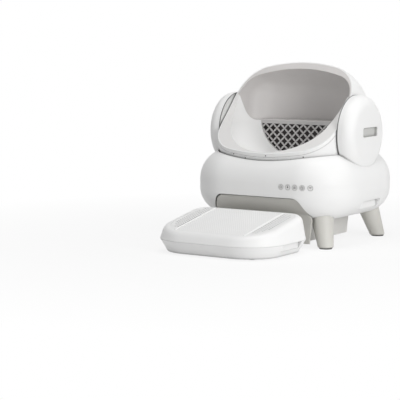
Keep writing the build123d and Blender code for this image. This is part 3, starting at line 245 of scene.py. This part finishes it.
def shaded_lip_plastic(name, colour, lip_shade_colour, rough):
    """White plastic of the litter bowl, with painted shade as a greyer band where its rim follows the
    drum's mouth.
    """
    mat = plastic(name, colour, rough, tone=SHELL_TONE)
    tree = mat.node_tree
    link = tree.links.new
    painted_nook_shade = tree.nodes["painted_nook_shade"]
    body = painted_nook_shade.inputs[0].links[0].from_socket
    coords = add(tree, "ShaderNodeTexCoord")
    centre = add(tree, "ShaderNodeVectorMath", operation="SUBTRACT")
    centre.inputs[1].default_value = (0.0, MOUTH_CENTRE_Y, MOUTH_CENTRE_Z)
    link(coords.outputs["Object"], centre.inputs[0])
    flat = add(tree, "ShaderNodeVectorMath", operation="MULTIPLY")
    flat.inputs[1].default_value = (0.0, 1.0, 1.0)
    link(centre.outputs["Vector"], flat.inputs[0])
    away = add(tree, "ShaderNodeVectorMath", operation="LENGTH")
    link(flat.outputs["Vector"], away.inputs[0])
    # Painted shade: the grey band on the bowl's rim
    lip_shade = remap(tree, away.outputs["Value"], MOUTH_RADIUS + LIP_SHADE_START, MOUTH_RADIUS + LIP_SHADE_END, 1.0, 0.0)
    pick = add(tree, "ShaderNodeMix", data_type="RGBA")
    pick.inputs[MIX_SECOND].default_value = (*lip_shade_colour, 1)
    link(lip_shade, pick.inputs[MIX_FACTOR])
    link(body, pick.inputs[MIX_FIRST])
    link(pick.outputs[MIX_RESULT], painted_nook_shade.inputs[0])
    return mat


SHELL_WHITE = (0.885, 0.885, 0.88)
STEP_WHITE = (0.87, 0.87, 0.865)
MATERIALS = {
    "white_shell": plastic("white_shell_look", SHELL_WHITE, 0.5, coat=0.04, tone=SHELL_TONE),
    "hood_grey": plastic("hood_grey_look", (0.65, 0.63, 0.62), 0.5, tone=0.025),
    "sieve_grey": plastic("sieve_grey_look", (0.52, 0.505, 0.50), 0.45, edge=0.0008),
    "dark_plastic": plastic("dark_plastic_look", (0.055, 0.047, 0.046), 0.55, tone=0.15),
    "leg_grey": plastic("leg_grey_look", (0.64, 0.63, 0.59), 0.48, tone=0.02),
    "drawer_grey": plastic("drawer_grey_look", (0.62, 0.61, 0.575), 0.45, tone=0.02, edge=0.003),
    "grip_grey": plastic("grip_grey_look", (0.60, 0.60, 0.585), 0.45),
    "button_grey": plastic("button_grey_look", (0.80, 0.795, 0.79), 0.34, coat=0.2, edge=0.0006),
    "rubber": plastic("rubber_look", (0.10, 0.10, 0.10), 0.8, tone=0.12, grain=600.0, grain_depth=0.0002),
    "steel": metal("steel_look", (0.56, 0.56, 0.57)),
    "bracket_white": plastic("bracket_white_look", (0.70, 0.70, 0.69), 0.5),
    "bush_brass": metal("bush_brass_look", (0.66, 0.47, 0.22), 0.42),
    "gear_plastic": plastic("gear_plastic_look", (0.78, 0.76, 0.70), 0.45),
    "board_green": board("board_green_look", (0.03, 0.15, 0.06)),
    "rail_plastic": plastic("rail_plastic_look", (0.66, 0.66, 0.65), 0.35),
    "step_white": plastic("step_white_look", STEP_WHITE, 0.55, tone=0.015, grain=800.0),
}
# The step grilles get only faint painted shade in their slots
GRILLE = plastic("step_grille_look", STEP_WHITE, 0.55, tone=0.015, nook_shade_tone=0.95)
OWN_LOOKS = {
    "waste_bin": plastic("waste_bin_look", (0.76, 0.75, 0.725), 0.45, tone=0.02),
    "step_mat": plastic("step_mat_look", (0.84, 0.84, 0.835), 0.6, tone=0.015),
    "left_step_grille": GRILLE,
    "right_step_grille": GRILLE,
    # The bowl's rim band is painted shade
    "litter_bowl": shaded_lip_plastic("litter_bowl_look", SHELL_WHITE, (0.77, 0.76, 0.75), 0.5),
}
# Painted shade: dark stand-in for the shadow in the gap between a pod and the drum
POD_GAP_SHADE = plastic("pod_gap_shade_look", (0.2, 0.2, 0.2), 0.9, tone=0.15, grain=500.0, grain_depth=0.0003, edge=0.0)
ICON_DARK = plastic("icon_dark_look", (0.05, 0.048, 0.048), 0.5, edge=0.0)
ICON_PALE = plastic("icon_pale_look", (0.33, 0.325, 0.32), 0.5, edge=0.0)
ICON_RING = plastic("icon_ring_look", (0.30, 0.295, 0.29), 0.5, edge=0.0)
# No painted shade on the beads and bumps
BEAD_WHITE = plastic("bead_white_look", (0.96, 0.96, 0.955), 0.4, tone=0.01, edge=0.0, nook_shade_tone=1.0)

for part in frame["record"]["subparts"]:
    look = OWN_LOOKS.get(part["node"], MATERIALS[part["material_slot"]])
    for place in nodes[part["node"]].material_slots:
        place.material = look


# Small pieces


def take_mesh(builder, name):
    """Mesh of a finished bmesh, which is freed."""
    mesh = bpy.data.meshes.new(name)
    builder.to_mesh(mesh)
    builder.free()
    return mesh


def new_piece(name, mesh, body, material):
    piece = bpy.data.objects.new(name, mesh)
    scene.collection.objects.link(piece)
    piece.data.materials.append(material)
    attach(piece, body)
    return piece


def skin(builder, rows, closed=False):
    """Faces along rows of points that each run round a section, with end faces where it is open."""
    pairs = list(zip(rows, rows[1:]))
    if closed:
        pairs.append((rows[-1], rows[0]))
    for one, two in pairs:
        for k in range(len(one)):
            n = (k + 1) % len(one)
            builder.faces.new((one[k], one[n], two[n], two[k]))
    if not closed:
        builder.faces.new(rows[0])
        builder.faces.new(rows[-1][::-1])


def ribbon(builder, points, width, height, closed=False):
    """Flat raised line of a width along points of a plane."""
    count = len(points)
    rows = []
    for i, point in enumerate(points):
        before = points[i - 1] if i or closed else point
        after = points[(i + 1) % count] if i < count - 1 or closed else point
        along = Vector((after[0] - before[0], after[1] - before[1]))
        along.normalize()
        side = Vector((-along.y, along.x)) * (width / 2)
        left = (point[0] + side.x, point[1] + side.y)
        right = (point[0] - side.x, point[1] - side.y)
        corners = ((*left, 0), (*right, 0), (*right, height), (*left, height))
        rows.append([builder.verts.new(corner) for corner in corners])
    skin(builder, rows, closed)


def arc_points(radius, start, end, steps, centre=(0.0, 0.0)):
    turn = [math.radians(start + (end - start) * i / steps) for i in range(steps + 1)]
    return [(centre[0] + radius * math.cos(a), centre[1] + radius * math.sin(a)) for a in turn]


def pod_gap_shade(name, side):
    """Thin dark strip round the inner edge of a pod, above the housing: painted shade put where there is
    only the shadowed gap between pod and drum.
    """
    section = (
        (GAP_SHADE_INNER_X, GAP_SHADE_INNER_RADIUS),
        (GAP_SHADE_INNER_X, GAP_SHADE_OUTER_RADIUS),
        (GAP_SHADE_OUTER_X, GAP_SHADE_OUTER_RADIUS),
        (GAP_SHADE_OUTER_X, GAP_SHADE_INNER_RADIUS),
    )
    builder = bmesh.new()
    rows = []
    for y, z in arc_points(1.0, GAP_SHADE_START_DEG, GAP_SHADE_END_DEG, GAP_SHADE_STEPS):
        spots = [(side * x, SHIFT_Y + y * radius, AXIS_Z + z * radius) for x, radius in section]
        rows.append([builder.verts.new(spot) for spot in spots])
    skin(builder, rows)
    bmesh.ops.recalc_face_normals(builder, faces=builder.faces)
    new_piece(name, take_mesh(builder, name), "base", POD_GAP_SHADE)


def symbol_lines(number):
    """Plain symbols: power, start, level, timer and signal."""
    if number == 1:
        return [arc_points(4.2 * MM, 120, 420, 28), [(0, 1.5 * MM), (0, 5.4 * MM)]]
    if number == 2:
        dot = [arc_points(r * MM, 0, 350, 20) for r in (0.7, 1.9)]
        return dot + [arc_points(4.9 * MM, 60, 120, 8)]
    if number == 3:
        return [[(-4.4 * MM, y * MM), (4.4 * MM, y * MM)] for y in (-3.0, 0.0, 3.0)]
    if number == 4:
        return [arc_points(4.6 * MM, 0, 350, 32), [(0, 3.0 * MM), (0, 0), (2.2 * MM, -1.4 * MM)]]
    centre = (0.0, -3.6 * MM)
    return [arc_points(r * MM, 45, 135, 14, centre) for r in (2.2, 4.8, 7.4)]


def button_symbol(number):
    """Ring and symbol on the face of a button, which lies on the housing's flat or rounded front."""
    name = "symbol_%d" % number
    x = BUTTON_FIRST_X + BUTTON_PITCH * (number - 1)
    turn = math.asin(max(x - FRONT_FLAT_X, 0.0) / FRONT_CORNER)
    outward = Vector((math.sin(turn), -math.cos(turn), 0))
    along = Vector((math.cos(turn), math.sin(turn), 0))
    y = SHIFT_Y - FRONT_FLAT_Y - FRONT_CORNER * math.cos(turn)
    place = Vector((x, y, BUTTON_Z)) + outward * BUTTON_FACE
    builder = bmesh.new()
    ring = arc_points(RING_RADIUS, 0, RING_END_DEG, RING_STEPS)
    ribbon(builder, ring, RING_LINE, SYMBOL_HEIGHT, closed=True)
    ring_faces = len(builder.faces)
    for line in symbol_lines(number):
        ribbon(builder, line, SYMBOL_LINE, SYMBOL_HEIGHT)
    for face in list(builder.faces)[ring_faces:]:
        face.material_index = 1
    bmesh.ops.recalc_face_normals(builder, faces=builder.faces)
    mesh = take_mesh(builder, name)
    turn_to = Matrix((along, Vector((0, 0, 1)), outward)).transposed().to_4x4()
    mesh.transform(Matrix.Translation(place) @ turn_to)
    piece = new_piece(name, mesh, "button_%d" % number, ICON_RING)
    piece.data.materials.append(ICON_PALE if number == BUTTON_COUNT else ICON_DARK)


def step_point(x, along, rise):
    """A point on the step's inclined top, by its X, its way up the slope and its rise above it."""
    y = STEP_CENTRE_Y + along * math.cos(STEP_SLOPE) - rise * math.sin(STEP_SLOPE)
    return Vector((x, y, STEP_MID_Z + along * math.sin(STEP_SLOPE) + rise * math.cos(STEP_SLOPE)))


def inside_mat(x, along, margin):
    """Whether a place lies on the step's mat, a margin away from its edges."""
    half_x = MAT_HALF_X - margin
    half_y = MAT_HALF_Y - margin
    if abs(x) > MAT_EDGE_X - margin or abs(along) > half_y:
        return False
    radius = (MAT_FRONT_CORNER if along < 0 else MAT_BACK_CORNER) - margin
    over_x = abs(x) - (half_x - radius)
    over_y = abs(along) - (half_y - radius)
    return over_x <= 0 or over_y <= 0 or math.hypot(over_x, over_y) < radius


def dome(builder, x, along):
    """Low round bump on the mat."""
    rings = []
    for share, lift in BUMP_RING_SHARES:
        reach = BUMP_RADIUS * share
        rise = BUMP_BASE + BUMP_HEIGHT * lift
        ring = []
        for k in range(BUMP_SIDES):
            a = 2 * math.pi * k / BUMP_SIDES
            spot = step_point(x + reach * math.cos(a), along + reach * math.sin(a), rise)
            ring.append(builder.verts.new(spot))
        rings.append(ring)
    outer, inner = rings
    top = builder.verts.new(step_point(x, along, BUMP_BASE + BUMP_HEIGHT))
    for k in range(BUMP_SIDES):
        n = (k + 1) % BUMP_SIDES
        builder.faces.new((outer[k], outer[n], inner[n], inner[k]))
        builder.faces.new((inner[k], inner[n], top))


def mat_bumps(name):
    """Staggered rows of bumps over the mat."""
    builder = bmesh.new()
    for row in range(-BUMP_ROWS, BUMP_ROWS + 1):
        for column in range(-BUMP_COLUMNS, BUMP_COLUMNS + 1):
            x = BUMP_PITCH * (column + 0.5 * (row % 2))
            along = BUMP_PITCH * BUMP_ROW_SHARE * row
            if inside_mat(x, along, BUMP_MARGIN):
                dome(builder, x, along)
    mesh = take_mesh(builder, name)
    for face in mesh.polygons:
        face.use_smooth = True
    new_piece(name, mesh, "step_top", BEAD_WHITE)


def rib_bead(name, x):
    """Low rounded bead on the rib between the step's mat and a grille."""
    builder = bmesh.new()
    ends = []
    for along in (-BEAD_HALF_LENGTH, BEAD_HALF_LENGTH):
        spots = [step_point(x + across, along, rise) for across, rise in BEAD_PROFILE]
        ends.append([builder.verts.new(spot) for spot in spots])
    skin(builder, ends)
    bmesh.ops.recalc_face_normals(builder, faces=builder.faces)
    new_piece(name, take_mesh(builder, name), "step_top", BEAD_WHITE)


# Painted shade strips in the gaps between the pods and the drum
pod_gap_shade("left_pod_gap_shade", -1)
pod_gap_shade("right_pod_gap_shade", 1)
for number in range(1, BUTTON_COUNT + 1):
    button_symbol(number)
mat_bumps("step_mat_bumps")
rib_bead("left_rib_bead", -RIB_X)
rib_bead("right_rib_bead", RIB_X)


# Studio

WHITE = (1, 1, 1, 1)
FILL_TOWARD = (0.85, -0.53, 0.0)
FILL_LOW = 0.15
FILL_HIGH = 0.53
FLOOR_HALF = 9
FLOOR_Z = -0.0003
FLOOR_COLOUR = (0.9, 0.9, 0.9, 1)
FADE_START = 0.6
FADE_END = 1.7
FADE_NEAR = 0.84
LIGHT_AIM = (0.0, 0.1, 0.35)


def area_light(name, place, size, power):
    data = bpy.data.lights.new(name, "AREA")
    data.shape = "DISK"
    data.size = size
    data.energy = power
    lamp = bpy.data.objects.new(name, data)
    lamp.location = place
    lamp.rotation_euler = (Vector(LIGHT_AIM) - Vector(place)).to_track_quat("-Z", "Y").to_euler()
    scene.collection.objects.link(lamp)


def ray_mix(tree, plain, seen):
    """One shader for the camera and for mirror-like or clear surfaces, and a plain one for the rest."""
    link = tree.links.new
    path = add(tree, "ShaderNodeLightPath")
    one = add(tree, "ShaderNodeMath", operation="MAXIMUM")
    two = add(tree, "ShaderNodeMath", operation="MAXIMUM")
    mixed = add(tree, "ShaderNodeMixShader")
    link(path.outputs["Is Camera Ray"], one.inputs[0])
    link(path.outputs["Is Glossy Ray"], one.inputs[1])
    link(one.outputs[0], two.inputs[0])
    link(path.outputs["Is Transmission Ray"], two.inputs[1])
    link(two.outputs[0], mixed.inputs[0])
    link(plain.outputs[0], mixed.inputs[1])
    link(seen.outputs[0], mixed.inputs[2])
    return mixed


def studio_world():
    """White backdrop, with a fill that is stronger from the front right."""
    world = bpy.data.worlds.new("studio")
    scene.world = world
    world.use_nodes = True
    tree = world.node_tree
    tree.nodes.clear()
    seen = add(tree, "ShaderNodeBackground", Color=WHITE, Strength=1.0)
    fill = add(tree, "ShaderNodeBackground", Color=WHITE)
    way = add(tree, "ShaderNodeTexCoord")
    toward = add(tree, "ShaderNodeVectorMath", operation="DOT_PRODUCT")
    toward.inputs[1].default_value = FILL_TOWARD
    tree.links.new(way.outputs["Generated"], toward.inputs[0])
    strength = remap(tree, toward.outputs["Value"], -1.0, 1.0, FILL_LOW, FILL_HIGH)
    tree.links.new(strength, fill.inputs["Strength"])
    result = add(tree, "ShaderNodeOutputWorld")
    tree.links.new(ray_mix(tree, fill, seen).outputs[0], result.inputs[0])


def studio_floor():
    """White paper floor that keeps the shadow near the object and fades into the backdrop."""
    corners = [(-1, -1), (1, -1), (1, 1), (-1, 1)]
    mesh = bpy.data.meshes.new("floor")
    mesh.from_pydata([(FLOOR_HALF * x, FLOOR_HALF * y, 0) for x, y in corners], [], [(0, 1, 2, 3)])
    floor = bpy.data.objects.new("floor", mesh)
    floor.location.z = FLOOR_Z
    scene.collection.objects.link(floor)
    paper = bpy.data.materials.new("floor_paper")
    paper.use_nodes = True
    tree = paper.node_tree
    tree.nodes.clear()
    matte = add(tree, "ShaderNodeBsdfDiffuse", Color=FLOOR_COLOUR)
    white = add(tree, "ShaderNodeEmission", Color=WHITE, Strength=1.0)
    spot = add(tree, "ShaderNodeNewGeometry")
    away = add(tree, "ShaderNodeVectorMath", operation="LENGTH")
    tree.links.new(spot.outputs["Position"], away.inputs[0])
    shaded = add(tree, "ShaderNodeMixShader")
    fade = remap(tree, away.outputs["Value"], FADE_START, FADE_END, FADE_NEAR, 1.0)
    tree.links.new(fade, shaded.inputs[0])
    tree.links.new(matte.outputs[0], shaded.inputs[1])
    tree.links.new(white.outputs[0], shaded.inputs[2])
    result = add(tree, "ShaderNodeOutputMaterial")
    tree.links.new(ray_mix(tree, matte, shaded).outputs[0], result.inputs[0])
    mesh.materials.append(paper)


studio_world()
studio_floor()
area_light("key", place=(3.0, -1.2, 1.2), size=1.5, power=41.0)
area_light("top", place=(0.2, -0.3, 3.3), size=2.4, power=40.0)

# Camera at the photograph's angle; the object sits right of and above the middle of the frame
FRAME_PX = 400
FOCAL_PX = 1468.0
SENSOR_MM = 36.0
RIGHT_PX = 95
UP_PX = 50
AZIMUTH = math.radians(29.5)
ELEVATION = math.radians(4.6)
DISTANCE = 5.5
TARGET_Z = 0.325
FAR_CLIP = 60.0
back = Vector(
    (
        math.sin(AZIMUTH) * math.cos(ELEVATION),
        -math.cos(AZIMUTH) * math.cos(ELEVATION),
        math.sin(ELEVATION),
    )
)
right = Vector((math.cos(AZIMUTH), math.sin(AZIMUTH), 0))
up = back.cross(right)
looking = -back - right * (RIGHT_PX / FOCAL_PX) - up * (UP_PX / FOCAL_PX)
lens = bpy.data.cameras.new("camera")
lens.sensor_width = SENSOR_MM
lens.lens = FOCAL_PX / FRAME_PX * SENSOR_MM
lens.clip_end = FAR_CLIP
camera = bpy.data.objects.new("camera", lens)
camera.location = Vector((0.0, SHIFT_Y, TARGET_Z)) + back * DISTANCE
camera.rotation_euler = looking.to_track_quat("-Z", "Y").to_euler()
scene.collection.objects.link(camera)
scene.camera = camera
scene.view_settings.view_transform = "Standard"
